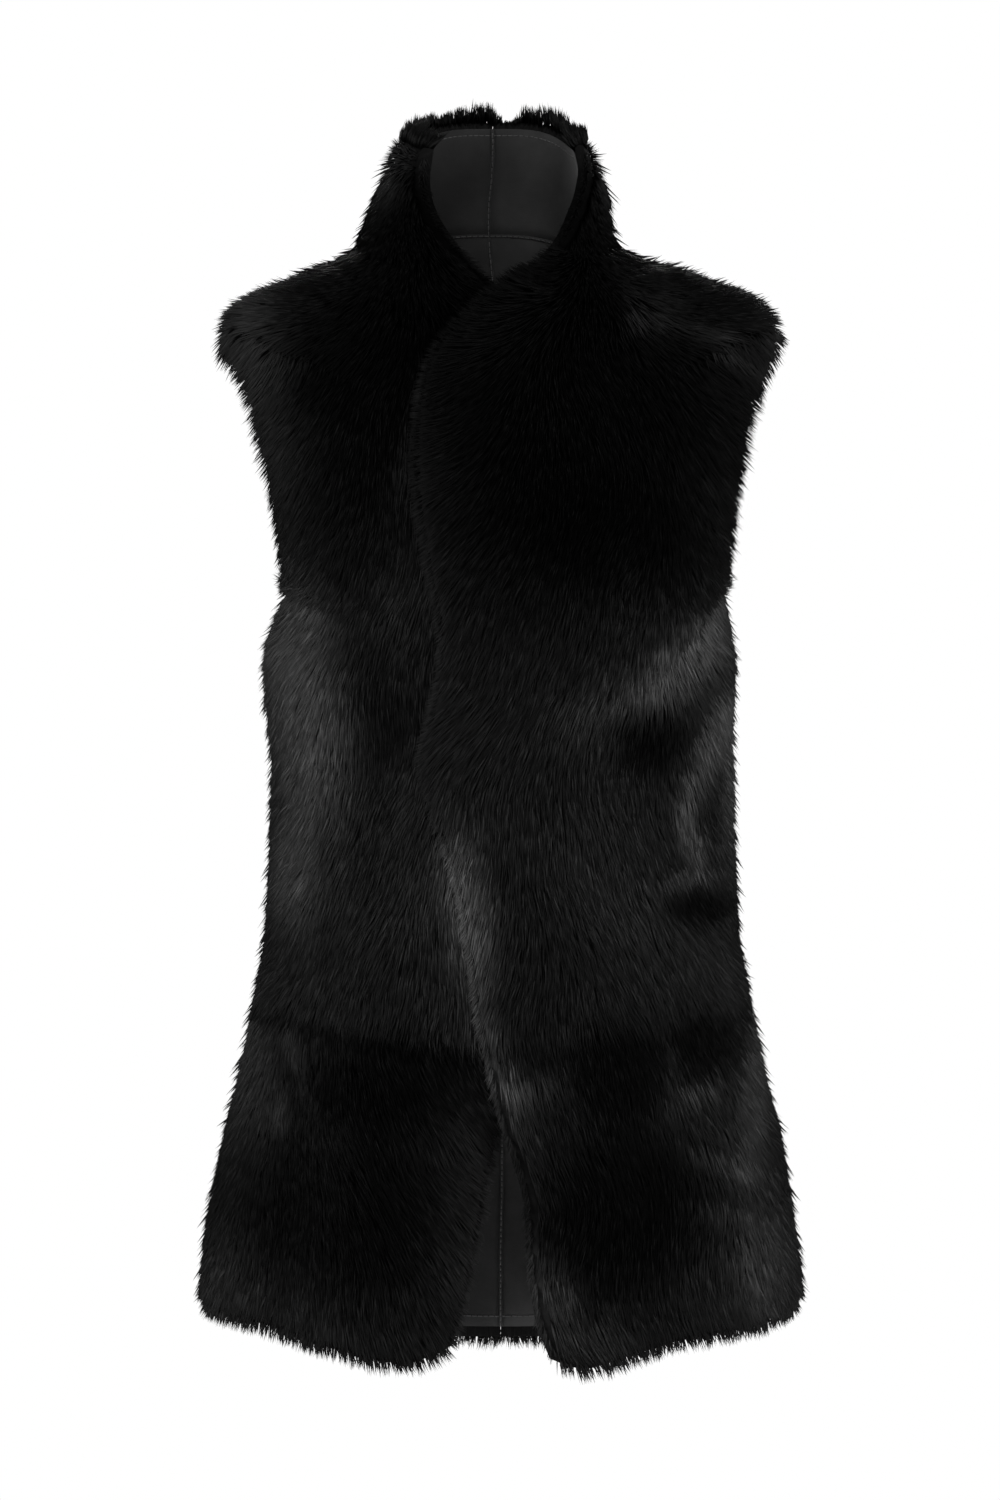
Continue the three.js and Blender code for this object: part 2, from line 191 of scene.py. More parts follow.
# The largest soft folds: ridges above 0, troughs below.
FOLDS = [
    dict(name="right side ridge", low=(300, -56), high=(540, -50), half_width=9, height=6),
    dict(name="right side hollow", low=(290, -40), high=(520, -34), half_width=8, height=-4),
    dict(name="left bust fold", low=(440, 36), high=(560, 72), half_width=9, height=-6),
    dict(name="left waist ridge", low=(330, 56), high=(520, 74), half_width=8, height=6),
    dict(name="left waist dent", low=(280, 64), high=(400, 58), half_width=9, height=-7),
    dict(name="right hem flute", low=(-60, -34), high=(220, -40), half_width=11, height=7),
    dict(name="right hem hollow", low=(-60, -57), high=(210, -58), half_width=10, height=-7),
    dict(name="left hem hollow", low=(-60, 38), high=(240, 44), half_width=10, height=-8),
    dict(name="left hem flute", low=(-60, 60), high=(230, 62), half_width=10, height=8),
    dict(name="back right flute", low=(-60, -148), high=(300, -144), half_width=12, height=8),
    dict(name="back left flute", low=(-60, 146), high=(320, 142), half_width=12, height=9),
    dict(name="back right hollow", low=(250, -128), high=(520, -118), half_width=10, height=-6),
    dict(name="back left hollow", low=(270, 132), high=(500, 122), half_width=11, height=-6),
]

# The way the wool lies, in degrees from straight down towards the side seam, at a panel's front
# or back middle ("edge"), halfway, and at its side.
LIE_UNDER_FRONT = named_table("up edge half side", [
    (0, -45, -30, -10),
    (110, -52, -36, -8),
    (233, -45, -26, 0),
    (240, -28, 0, 24),
    (400, -26, 4, 30),
    (500, -32, 0, 38),
    (570, -36, 0, 50),
    (660, -36, 4, 64),
    (745, -30, 16, 74),
    (860, -20, 24, 60),
])
LIE_OVER_FRONT = named_table("up edge half side", [
    (0, 2, -10, 10),
    (110, -8, -8, 14),
    (233, -6, -4, 16),
    (240, -14, 4, 24),
    (400, -26, 0, 30),
    (500, -36, -10, 38),
    (570, -44, -20, 50),
    (660, -62, -14, 64),
    (745, -72, 18, 74),
    (860, -50, 22, 60),
])
LIE_BACK = named_table("up edge half side", [
    (0, 3, 6, 12),
    (235, 4, 8, 20),
    (450, 4, 12, 34),
    (600, 2, 18, 55),
    (745, 0, 22, 70),
    (860, 3, 20, 50),
])
LIE_COLLAR = named_table("up edge half side", [
    (860, -14, 4, 2),
    (910, -10, 2, 0),
    (960, -4, 0, 0),
])


# Painted highlights and painted shade on the wool, in stops, where the nap and the folds catch or
# lose the light: the middle and half sizes of each patch as seen from the front or the back, and
# its turn in degrees.
PAINTED_LIGHT_FRONT = [
    ("dark chest of the under front", -91, -58, 54, 107, 0, -3.7),
    ("lower chest of the under front", -105, -194, 43, 50, 0, -1.16),
    ("dark chest of the lapping front", 48, -104, 112, 132, 0, -3.4),
    ("lapping edge at the chest", -57, -112, 10, 62, -16, 2.3),
    ("dark bust of the lapping front", 84, -202, 68, 43, -14, -1.5),
    ("right shoulder's edge", -168, -66, 24, 43, 0, 0.4),
    ("left shoulder's top", 127, -38, 50, 16, -20, -1.1),
    ("left shoulder's brushed nap", 97, -44, 22, 13, 40, 1.6),
    ("left shoulder's ridge", 138, -66, 52, 6, -20, 1.5),
    ("left side of the neck", 79, -26, 6, 26, 25, 1.8),
    ("right side gleam", -134, -323, 33, 102, 5, 2.2),
    ("right side gleam, below", -145, -445, 19, 43, 6, 1.3),
    ("left waist gleam", 124, -293, 18, 68, -38, 2),
    ("left bust gleam", 77, -316, 17, 44, -50, 1),
    ("left waist dent", 104, -347, 25, 21, -10, -2),
    ("left waist ridge", 142, -352, 10, 45, -18, 2.1),
    ("left waist ridge, below", 131, -413, 10, 34, 8, 2),
    ("left side gleam", 161, -366, 11, 66, 0, 2),
    ("left hip dent", 134, -466, 24, 14, 0, -2.1),
    ("left hip ridge", 127, -446, 26, 6, 8, 1.3),
    ("lap edge gleam", -22, -472, 22, 64, 9, 2.6),
    ("lap edge gleam, below", -7, -566, 16, 40, 18, 1.6),
    ("lapping skirt's top at the edge", 17, -592, 26, 12, 0, 1.4),
    ("lap edge gleam over the hem gap", 4, -611, 13, 24, 20, 0.9),
    ("middle of the lapping front", 70, -438, 43, 79, 0, 0.45),
    ("dark hip of the under front", -84, -592, 61, 33, 0, -2.2),
    ("right hip streak", -145, -578, 6, 32, 14, 1.1),
    ("right hip streak, below", -156, -611, 7, 17, 0, 1),
    ("right hip's side", -175, -574, 17, 79, 8, 0.7),
    ("dark hip of the lapping front", 81, -585, 32, 36, 0, -2.03),
    ("dark hip of the lapping front, outer", 140, -563, 27, 24, 0, -1.74),
    ("left hip streak", 114, -578, 4, 21, 0, 1.2),
    ("left hip streak, below", 132, -600, 20, 8, 22, 1.3),
    ("left hip's side", 179, -574, 14, 79, -8, 1.5),
    ("dark skirt of the under front", -116, -681, 82, 61, 0, -2.1),
    ("under skirt's front edge", -43, -696, 19, 50, 0, 0.7),
    ("right hem corner", -188, -724, 29, 36, 0, 0.4),
    ("dark skirt of the lapping front", 84, -681, 61, 57, 0, -2.5),
    ("left skirt streak", 153, -650, 30, 8, -20, 1.3),
    ("left skirt streak, below", 150, -683, 29, 6, -15, 1.1),
    ("left hem corner", 182, -721, 21, 39, 0, 1.2),
    ("lapping skirt's front edge", 36, -735, 20, 37, 0, 1.5),
    ("lapping hem", 63, -778, 26, 19, 0, 0.8),
    ("right side of the collar", -67, 6, 37, 54, 0, -2.75),
    ("outer edge of the collar, right", -78, 36, 10, 37, -12, 1.6),
    ("left side of the collar", 63, 6, 23, 61, 0, -2.32),
    ("outer edge of the collar, left", 76, 33, 6, 33, 12, 1.8),
]
PAINTED_LIGHT_BACK = [
    ("dark shoulder, right", -73, -44, 86, 79, 0, -2.46),
    ("dark shoulder, left", 84, -66, 79, 93, 0, -2.17),
    ("right waist gleam", -116, -295, 24, 86, 6, 1.4),
    ("left waist gleam", 117, -273, 21, 75, -34, 1.7),
    ("left waist dent", 99, -345, 24, 19, -20, -0.9),
    ("middle of the back", 13, -345, 43, 79, 0, 0.3),
    ("dark seat, right", -66, -574, 74, 40, 20, -0.8),
    ("dark seat, left", 74, -616, 72, 40, -25, -0.8),
    ("seat gleam", -1, -531, 14, 57, 10, 1.3),
    ("right hem side", -173, -638, 20, 79, 8, 1.3),
    ("left hem side", 178, -603, 19, 79, -8, 1.3),
    ("back hem gleam", -5, -724, 21, 43, 0, 1.1),
    ("dark hem, right", -95, -696, 57, 43, 0, -1.59),
    ("collar back", 0, 20, 64, 32, 0, -1.89),
]
MIDDLE_TONE = 0.0135
HIP_SEAM_SHADE = {"under": 2.2, "over": 1.1}


def ease(low, high, x):
    """A smooth step from 0 at low to 1 at high."""
    t = np.clip((x - low) / (high - low), 0, 1)
    return t * t * (3 - 2 * t)


def along(table, name, up):
    """A column of a table at any way up, on one smooth curve through its rows."""
    ups, values = table["up"], table[name]
    last = len(ups) - 1
    x = np.clip(up, ups[0], ups[-1])
    i = np.clip(np.searchsorted(ups, x) - 1, 0, last - 1)
    before, after = np.maximum(np.arange(last + 1) - 1, 0), np.minimum(np.arange(last + 1) + 1, last)
    slope = (values[after] - values[before]) / (ups[after] - ups[before])
    span = ups[i + 1] - ups[i]
    t = (x - ups[i]) / span
    straight = values[i] * (1 - t) ** 2 * (1 + 2 * t) + values[i + 1] * t ** 2 * (3 - 2 * t)
    return straight + t * (1 - t) * span * ((1 - t) * slope[i] - t * slope[i + 1])


def fold_height(angle, up):
    """How far the soft folds move the skin side outwards."""
    height = np.zeros(np.broadcast(angle, up).shape)
    for fold in FOLDS:
        (low_up, low_angle), (high_up, high_angle) = fold["low"], fold["high"]
        t = np.clip((up - low_up) / (high_up - low_up), 0, 1)
        across = (angle - low_angle - (high_angle - low_angle) * t) / fold["half_width"]
        height = height + fold["height"] * np.sin(math.pi * t) * np.exp(-across * across)
    return height


def skin_point(angle, up):
    """A point of the skin side."""
    turn = np.radians(angle)
    sine, cosine = np.sin(turn), np.cos(turn)
    front = cosine >= 0
    side_z = along(SECTIONS, "side_z", up)
    depth = np.where(front, along(SECTIONS, "front_y", up), along(SECTIONS, "back_y", up))
    middle_z = np.where(front, along(SECTIONS, "front_z", up), along(SECTIONS, "back_z", up))
    square = along(SECTIONS, "square", up)
    fall = np.where(front, along(SECTIONS, "fall", up), 3)
    wide = np.abs(sine / along(SECTIONS, "side_x", up)) ** square
    deep = np.abs(cosine / depth) ** square
    radius = (wide + deep) ** (-1 / square) + fold_height(angle, up)
    x = radius * sine + along(SECTIONS, "lean", up)
    z = side_z + (middle_z - side_z) * (1 - np.abs(sine) ** fall)
    return np.stack([x, -radius * cosine, z], -1)


def unit(v):
    return v / np.maximum(np.linalg.norm(v, axis=-1, keepdims=True), 1e-9)


def skin_normal(angle, up):
    low, high = np.maximum(0, up - 1), np.minimum(COLLAR_TOP, up + 1)
    across = skin_point(angle + 0.5, up) - skin_point(angle - 0.5, up)
    return unit(np.cross(across, skin_point(angle, high) - skin_point(angle, low)))


def wool_height(angle, up):
    """How high the wool stands over the skin side."""
    return WOOL_HEIGHT + (COLLAR_WOOL - WOOL_HEIGHT) * ease(NECK_SEAM, NECK_SEAM + 40, up) + 0 * angle


def front_angle(length, up):
    """The angle of a length along the front."""
    return np.degrees(length / along(SECTIONS, "front_y", up))


def under_wool(angle, up):
    """Under the lapping front the right front's wool is pressed flat."""
    edge = along(FRONT_EDGES, "over", up)
    full = wool_height(angle, up)
    pressed = ease(edge - front_angle(LAP_START, up), edge - front_angle(LAP_FULL, up), angle)
    return full + (PRESSED_WOOL - full) * pressed


def lap_lift(angle, up):
    """The left front is lifted over the right one and comes down beside it."""
    edge = along(FRONT_EDGES, "under", up)
    down = ease(edge + front_angle(LAP_FULL, up), edge + front_angle(LAP_START, up), angle)
    return (PRESSED_WOOL + LAP_GAP) * (1 - down)


def armhole_angle(up):
    """How far an armhole's edge stands from the side, in degrees."""
    t = np.clip((up - ARMHOLE_BOTTOM) / (SHOULDER_TIP - ARMHOLE_BOTTOM), 0, 1)
    return ARMHOLE_HALF_ANGLE * (4 * t * (1 - t)) ** ARMHOLE_ROUNDNESS


def armhole_free(up):
    """How free a side edge is at the armhole, from 0 at its ends to 1."""
    return np.minimum(1, armhole_angle(up) / ARMHOLE_HALF_ANGLE) ** 2


def gap_angle(angle, up):
    """Half the gap at a seam, as an angle."""
    arm = skin_point(angle, up)
    return np.degrees(SEAM_GAP / 2 / np.hypot(arm[..., 0], arm[..., 1]))


def no_lift(angle, up):
    return 0 * (angle + up)


def painted_light(points):
    """How many stops of painted highlight or painted shade the wool gets at each point."""
    x, y, z = points.T
    behind = ease(-5, 40, y)
    stops = np.zeros(len(points))
    for patches, share in ((PAINTED_LIGHT_FRONT, 1 - behind), (PAINTED_LIGHT_BACK, behind)):
        for name, middle_x, middle_z, half_x, half_z, turn, amount in patches:
            sine, cosine = math.sin(math.radians(turn)), math.cos(math.radians(turn))
            across = ((x - middle_x) * cosine + (z - middle_z) * sine) / half_x
            upward = ((z - middle_z) * cosine - (x - middle_x) * sine) / half_z
            stops = stops + share * amount * np.exp(-(across ** 2 + upward ** 2) ** 1.8)
    return stops


def as_depth(stops):
    """Stops as the 0 to 1 of the wool's attribute, four stops either way."""
    return np.clip(0.5 + stops / 8, 0, 1)


def seam(up):
    """A sewn edge spills no wool."""
    return 0 * up


def free_edge(up):
    """A free edge spills wool all along."""
    return 0 * up + 1


class Panel:
    """One cut piece of sheepskin. s runs across it from its right to its left as worn, up its length.

    outward tells how far a place is from the front edge or back middle, 0, to the side, 1.
    """

    def __init__(self, name, sign, kind, low, high):
        self.name, self.sign, self.kind = name, sign, kind
        self.low, self.high = low, high
        self.over = sign > 0 and kind != "back"
        self.lift = lap_lift if self.over else no_lift
        self.wool = under_wool if sign < 0 and kind != "back" else wool_height
        inner = free_edge if kind != "back" else seam
        outer = armhole_free if kind != "collar" else seam
        self.first_is_inner = (sign > 0) == (kind != "back")
        self.free_first, self.free_last = (inner, outer) if self.first_is_inner else (outer, inner)
        self.free_low = 1 if low == 0 else 0
        self.free_high = COLLAR_TOP_SPILL if kind == "collar" else 0
        self.lie = {
            "front": LIE_OVER_FRONT if self.over else LIE_UNDER_FRONT,
            "back": LIE_BACK,
            "collar": LIE_COLLAR,
        }[kind]

    def inner_angle(self, up):
        if self.kind == "back":
            return self.sign * (180 - gap_angle(180, up))
        return along(FRONT_EDGES, "over" if self.over else "under", up)

    def outward(self, s):
        return s if self.first_is_inner else 1 - s

    def angle(self, up, s):
        o = self.outward(s)
        start = self.inner_angle(up)
        if self.kind == "collar":
            share = COLLAR_FRONT_SHARE
            shoulder = self.sign * 90
            middle = self.sign * (180 - gap_angle(180, up))
            front = start + (shoulder - start) * np.minimum(1, o / share)
            return front + (middle - shoulder) * np.maximum(0, (o - share) / (1 - share))
        to_front = 1 if self.kind == "front" else -1
        side = self.sign * (90 - to_front * gap_angle(90, up))
        bent = self.sign * to_front * armhole_angle(up) * o ** ARMHOLE_BEND
        return start + (side - start) * o - bent

    def up(self, t, s):
        """The way up at t of the panel's length, with its corners rounded."""
        row = self.low + (self.high - self.low) * t
        o = self.outward(s)
        if self.kind == "collar":
            corner = np.maximum(0, 1 - o / COLLAR_FRONT_SHARE) ** 2
            return row - COLLAR_CORNER_DROP * corner * ease(NECK_SEAM, COLLAR_TOP, row)
        if self.kind == "front" and self.low == 0:
            rise, span = OVER_CORNER if self.over else UNDER_CORNER
            corner = np.maximum(0, 1 - o / span) ** 2
            return row + rise * corner * np.maximum(0, 1 - row / HIP_SEAM) ** 2
        return row

    def base(self, s, t):
        """The skin side's points, with the lap's lift."""
        up = self.up(t, s)
        angle = self.angle(up, s)
        return skin_point(angle, up) + skin_normal(angle, up) * self.lift(angle, up)[..., None]

    def frame_at(self, s, t):
        """Base point, outward normal, tangent across and tangent up at a place of the panel."""
        up = self.up(t, s)
        angle = self.angle(up, s)
        normal = skin_normal(angle, up)
        base = skin_point(angle, up) + normal * self.lift(angle, up)[..., None]
        step = 1.5 / (self.high - self.low)
        rising = unit(self.base(s, np.minimum(t + step, 1)) - self.base(s, np.maximum(t - step, 0)))
        across = unit(np.cross(rising, normal))
        return base, normal, across, rising, angle, up

    def spill(self, s, t):
        """The way and length, in millimetres, that wool spills from a place of the rim."""
        _, normal, across, _, _, up = self.frame_at(s, t)
        first, last = s < 1e-6, s > 1 - 1e-6
        sideways = np.where(first, self.free_first(up), np.where(last, self.free_last(up), 0))
        low, high = t < 1e-6, t > 1 - 1e-6
        endways = np.where(low, self.free_low, np.where(high, self.free_high, 0))
        side = self.base(np.minimum(s + 0.01, 1), t) - self.base(np.maximum(s - 0.01, 0), t)
        lengthways = unit(np.cross(normal, side))
        way = across * (np.where(first, -1, 1) * sideways)[..., None]
        way = way + lengthways * (np.where(low, -1, 1) * endways)[..., None]
        return way * (EDGE_SPILL * (1 - CORNER_LOSS * sideways * endways))[..., None]


def cut_panel(kind, name, sign, low, high):
    """A panel between two ways up, half a gap short at each seam."""
    low_gap = SEAM_GAP / 2 if low == HIP_SEAM else NECK_SEAM_GAP / 2 if low == NECK_SEAM else 0
    high_gap = SEAM_GAP / 2 if high == HIP_SEAM else NECK_SEAM_GAP / 2 if high == NECK_SEAM else 0
    return Panel(name, sign, kind, low + low_gap, high - high_gap)


PANELS = [
    cut_panel("front", "front_left_upper", 1, HIP_SEAM, NECK_SEAM),
    cut_panel("front", "front_left_skirt", 1, 0, HIP_SEAM),
    cut_panel("front", "front_right_upper", -1, HIP_SEAM, NECK_SEAM),
    cut_panel("front", "front_right_skirt", -1, 0, HIP_SEAM),
    cut_panel("back", "back_left", 1, 0, NECK_SEAM),
    cut_panel("back", "back_right", -1, 0, NECK_SEAM),
    cut_panel("collar", "collar_left", 1, NECK_SEAM, COLLAR_TOP),
    cut_panel("collar", "collar_right", -1, NECK_SEAM, COLLAR_TOP),
]


# Materials.

def new_material(name):
    material = bpy.data.materials.new(name)
    material.use_nodes = True
    nodes = material.node_tree.nodes
    return material, nodes, material.node_tree.links, nodes["Principled BSDF"]


def noise(nodes, links, coordinates, scale, detail=4, roughness=0.6):
    node = nodes.new("ShaderNodeTexNoise")
    node.inputs["Scale"].default_value = scale
    node.inputs["Detail"].default_value = detail
    node.inputs["Roughness"].default_value = roughness
    links.new(coordinates, node.inputs["Vector"])
    return node.outputs["Fac"]


def ramp(nodes, links, factor, stops):
    node = nodes.new("ShaderNodeValToRGB")
    elements = node.color_ramp.elements
    elements[0].position, elements[0].color = stops[0]
    elements[1].position, elements[1].color = stops[-1]
    for position, colour in stops[1:-1]:
        elements.new(position).color = colour
    links.new(factor, node.inputs["Fac"])
    return node.outputs["Color"]


def spread(nodes, links, value, low, high):
    node = nodes.new("ShaderNodeMapRange")
    node.inputs["To Min"].default_value = low
    node.inputs["To Max"].default_value = high
    links.new(value, node.inputs["Value"])
    return node.outputs["Result"]


def bump(nodes, links, height, distance, strength, bsdf):
    node = nodes.new("ShaderNodeBump")
    node.inputs["Distance"].default_value = distance
    node.inputs["Strength"].default_value = strength
    links.new(height, node.inputs["Height"])
    links.new(node.outputs["Normal"], bsdf.inputs["Normal"])


def stretched(nodes, links, source, scale):
    node = nodes.new("ShaderNodeMapping")
    node.inputs["Scale"].default_value = scale
    links.new(source, node.inputs["Vector"])
    return node.outputs["Vector"]


def grey(value):
    return (value, value, value, 1)


def wool_black_and_painted_light(nodes, links, material_tone):
    """The wool's colour with its painted highlights and shade, from its attribute: every eighth is one
    stop.
    """
    depth = nodes.new("ShaderNodeAttribute")
    depth.attribute_name = "depth"
    stops = [(k / 8, grey(material_tone * 2 ** (k - 4))) for k in range(9)]
    return ramp(nodes, links, depth.outputs["Fac"], stops)


def wool_strand_material():
    """Glossy near-black wool: each strand has its own depth of black, with painted highlights and shade,
    and painted shade darker at its root.
    """
    material, nodes, links, bsdf = new_material("black_wool_strands")
    links.new(wool_black_and_painted_light(nodes, links, MIDDLE_TONE), bsdf.inputs["Base Color"])
    place = nodes.new("ShaderNodeTexCoord").outputs["Object"]
    patchy = noise(nodes, links, place, 60)
    links.new(spread(nodes, links, patchy, 0.42, 0.6), bsdf.inputs["Roughness"])
    bsdf.inputs["Specular IOR Level"].default_value = 0.02
    return material


def undercoat_material():
    """The dense wool below the strands' tips, combed along the panel, with painted highlights and shade.
    """
    material, nodes, links, bsdf = new_material("black_wool_undercoat")
    flat = nodes.new("ShaderNodeUVMap")
    flat.uv_map = "Flat"
    fibres = noise(nodes, links, stretched(nodes, links, flat.outputs["UV"], (900, 70, 1)), 1)
    locks = noise(nodes, links, stretched(nodes, links, flat.outputs["UV"], (160, 40, 1)), 1)
    shade = nodes.new("ShaderNodeMix")
    shade.data_type = "RGBA"
    shade.blend_type = "MULTIPLY"
    shade.inputs["Factor"].default_value = 1
    links.new(wool_black_and_painted_light(nodes, links, MIDDLE_TONE * 0.6), shade.inputs["A"])
    links.new(ramp(nodes, links, fibres, [(0.3, grey(0.3)), (0.75, grey(1.0))]), shade.inputs["B"])
    links.new(shade.outputs["Result"], bsdf.inputs["Base Color"])
    links.new(spread(nodes, links, locks, 0.7, 0.9), bsdf.inputs["Roughness"])
    bump(nodes, links, fibres, 0.002, 0.9, bsdf)
    bsdf.inputs["Specular IOR Level"].default_value = 0.02
    return material


def suede_material():
    """The skin side: dyed suede with a short nap, cloudy in tone, with pores and faint creases, and
    painted light that makes it lighter towards the wearer's left and darker towards the right.
    """
    material, nodes, links, bsdf = new_material("black_suede")
    place = nodes.new("ShaderNodeTexCoord").outputs["Object"]
    clouds = noise(nodes, links, place, 16, 5)
    nap = noise(nodes, links, place, 1400, 3)
    creases = noise(nodes, links, stretched(nodes, links, place, (40, 40, 90)), 1, 6, 0.7)
    colour = ramp(nodes, links, clouds, [(0.3, grey(0.011)), (0.7, grey(0.028))])
    # Painted light, not wear: the map named worn makes the suede up to 1.6 times lighter towards the
    # wearer's left and down to half towards the right, for light falling from one side.
    apart = nodes.new("ShaderNodeSeparateXYZ")
    links.new(place, apart.inputs["Vector"])
    worn = nodes.new("ShaderNodeMapRange")
    for socket, value in (("From Min", -0.05), ("From Max", 0.05), ("To Min", 0.5), ("To Max", 1.6)):
        worn.inputs[socket].default_value = value
    links.new(apart.outputs["X"], worn.inputs["Value"])
    shaded = nodes.new("ShaderNodeVectorMath")
    shaded.operation = "SCALE"
    links.new(colour, shaded.inputs["Vector"])
    links.new(worn.outputs["Result"], shaded.inputs["Scale"])
    links.new(shaded.outputs["Vector"], bsdf.inputs["Base Color"])
    links.new(spread(nodes, links, nap, 0.72, 0.98), bsdf.inputs["Roughness"])
    mixed = nodes.new("ShaderNodeMath")
    mixed.operation = "MULTIPLY_ADD"
    mixed.inputs[1].default_value = 0.35
    links.new(nap, mixed.inputs[0])
    links.new(creases, mixed.inputs[2])
    bump(nodes, links, mixed.outputs["Value"], 0.0012, 0.5, bsdf)
    bsdf.inputs["Sheen Weight"].default_value = 0.05
    bsdf.inputs["Sheen Roughness"].default_value = 0.5
    bsdf.inputs["Specular IOR Level"].default_value = 0.15
    return material


def thread_material():
    """Waxed sewing thread, a little lighter than the suede, with its twist as fine ribs."""
    material, nodes, links, bsdf = new_material("black_thread")
    place = nodes.new("ShaderNodeTexCoord").outputs["Object"]
    twist = nodes.new("ShaderNodeTexWave")
    twist.bands_direction = "DIAGONAL"
    twist.inputs["Scale"].default_value = 700
    links.new(place, twist.inputs["Vector"])
    colour = ramp(nodes, links, twist.outputs["Fac"], [(0, grey(0.03)), (1, grey(0.07))])
    links.new(colour, bsdf.inputs["Base Color"])
    bump(nodes, links, twist.outputs["Fac"], 0.0003, 0.6, bsdf)
    bsdf.inputs["Roughness"].default_value = 0.5
    return material


WOOL_STRANDS = wool_strand_material()
UNDERCOAT_WOOL = undercoat_material()
SUEDE = suede_material()
THREAD = thread_material()


# Pieces.

def finish_piece(name, bm, material, node, smooth=True):
    """A bmesh as a named object that rides with the gilet and stands for its node."""
    mesh = bpy.data.meshes.new(name)
    bm.to_mesh(mesh)
    bm.free()
    mesh.materials.append(material)
    if smooth:
        mesh.shade_smooth()
    piece = bpy.data.objects.new(name, mesh)
    bpy.context.scene.collection.objects.link(piece)
    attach(piece, "root")
    if node:
        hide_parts(node)
    return piece


def flat_slab(columns, rows, layers):
    """A closed slab, one unit square and one high: x across the panel, y up it, z through it."""
    bm = bmesh.new()
    bmesh.ops.create_grid(bm, x_segments=columns, y_segments=rows, size=0.5)
    bmesh.ops.translate(bm, verts=bm.verts, vec=(0.5, 0.5, 0))
    raised = bmesh.ops.extrude_face_region(bm, geom=bm.faces[:], use_keep_orig=True)
    top = [v for v in raised["geom"] if isinstance(v, bmesh.types.BMVert)]
    bmesh.ops.translate(bm, verts=top, vec=(0, 0, 1))
    if layers > 1:
        upright = [e for e in bm.edges if abs(e.verts[0].co.z - e.verts[1].co.z) > 0.5]
        bmesh.ops.subdivide_edges(bm, edges=upright, cuts=layers - 1, use_grid_fill=False)
    bmesh.ops.recalc_face_normals(bm, faces=bm.faces[:])
    return bm


def shape_slab(bm, panel, bottom, top, spilled):
    """Bends a flat slab onto a panel between two heights over the skin side, with its rim spilled."""
    flat = np.array([v.co[:] for v in bm.verts])
    s, t, share = flat.T
    base, normal, across, rising, angle, up = panel.frame_at(s, t)
    wool = panel.wool(angle, up)
    height = bottom(wool) + (top(wool) - bottom(wool)) * share
    place = base + normal * height[:, None]
    roll = np.sqrt(np.clip(1 - (2 * share - 1) ** 2, 0, 1))
    place = place + panel.spill(s, t) * (roll * spilled)[:, None]
    add_flat_uv(bm, panel, flat)
    # The depth attribute holds painted light: the patches' painted highlights and shade, in stops.
    depth = bm.verts.layers.float.new("depth")
    for v, co, tone in zip(bm.verts, place * MM, as_depth(painted_light(place))):
        v.co = co
        v[depth] = tone
    return bm


def add_flat_uv(bm, panel, flat):
    """A UV map in metres on the flat panel, so that the wool's pattern follows the surface."""
    layer = bm.loops.layers.uv.new("Flat")
    bm.verts.index_update()
    width, length = CUTS[panel.name][:2]
    for face in bm.faces:
        for loop in face.loops:
            s, t, share = flat[loop.vert.index]
            loop[layer].uv = (s * width, t * length + share * 0.01)


def sheepskin(panel):
    """A panel's skin and undercoat."""
    width, length = CUTS[panel.name][:2]
    columns = max(24, round(width / SLAB_COLUMN))
    rows = max(10, round(length / SLAB_ROW))
    thin, thick = flat_slab(columns, rows, 1), flat_slab(columns, rows, UNDERCOAT_LAYERS)
    skin = shape_slab(thin, panel, lambda w: 0 * w, lambda w: SKIN_THICK + 0 * w, 0)
    coat = shape_slab(thick, panel, lambda w: 1 + 0 * w, lambda w: UNDERCOAT * w, UNDERCOAT_SPILL)
    return (
        finish_piece(panel.name + "_skin", skin, SUEDE, panel.name),
        finish_piece(panel.name + "_undercoat", coat, UNDERCOAT_WOOL, panel.name),
    )


def strand_field(row_length, doublings):
    """Copies of one strand, a closed three-sided blade: x its width, y its length, z its bow.

    The copies stand COPY_STEP apart in x along a first row, and the rows as far apart in z.
    """
    bm = bmesh.new()
    bmesh.ops.create_cone(bm, cap_ends=True, segments=3, radius1=1, radius2=0, depth=1)
    tip = max(bm.verts, key=lambda v: v.co.z)
    root, left, right = sorted((v for v in bm.verts if v is not tip), key=lambda v: (-v.co.y, v.co.x))
    tip.co = (0, 1, 0)
    root.co = (0, 0, 0)
    left.co = (-0.5, BLADE_WIDEST, 1)
    right.co = (0.5, BLADE_WIDEST, 1)
    bmesh.ops.recalc_face_normals(bm, faces=bm.faces[:])
    first = bm.verts[:] + bm.edges[:] + bm.faces[:]
    for k in range(1, row_length):
        copy_moved(bm, first, (COPY_STEP * k, 0, 0))
    for k in range(doublings):
        copy_moved(bm, bm.verts[:] + bm.edges[:] + bm.faces[:], (0, 0, COPY_STEP * 2 ** k))
    return bm


def copy_moved(bm, geometry, offset):
    """A moved copy of some geometry."""
    copied = bmesh.ops.duplicate(bm, geom=geometry)["geom"]
    bmesh.ops.translate(bm, verts=[v for v in copied if isinstance(v, bmesh.types.BMVert)], vec=offset)


def soft_noise(points, size, seed):
    """A smooth field between about -1 and 1 with features of a size in millimetres."""
    rng = np.random.default_rng(seed)
    value = np.zeros(len(points))
    for k in range(6):
        way = unit(rng.normal(size=3))
        wave = points @ way * (2 * math.pi / size) * rng.uniform(0.6, 1.5)
        value = value + np.sin(wave + rng.uniform(0, 6.28))
    return value / 2.4


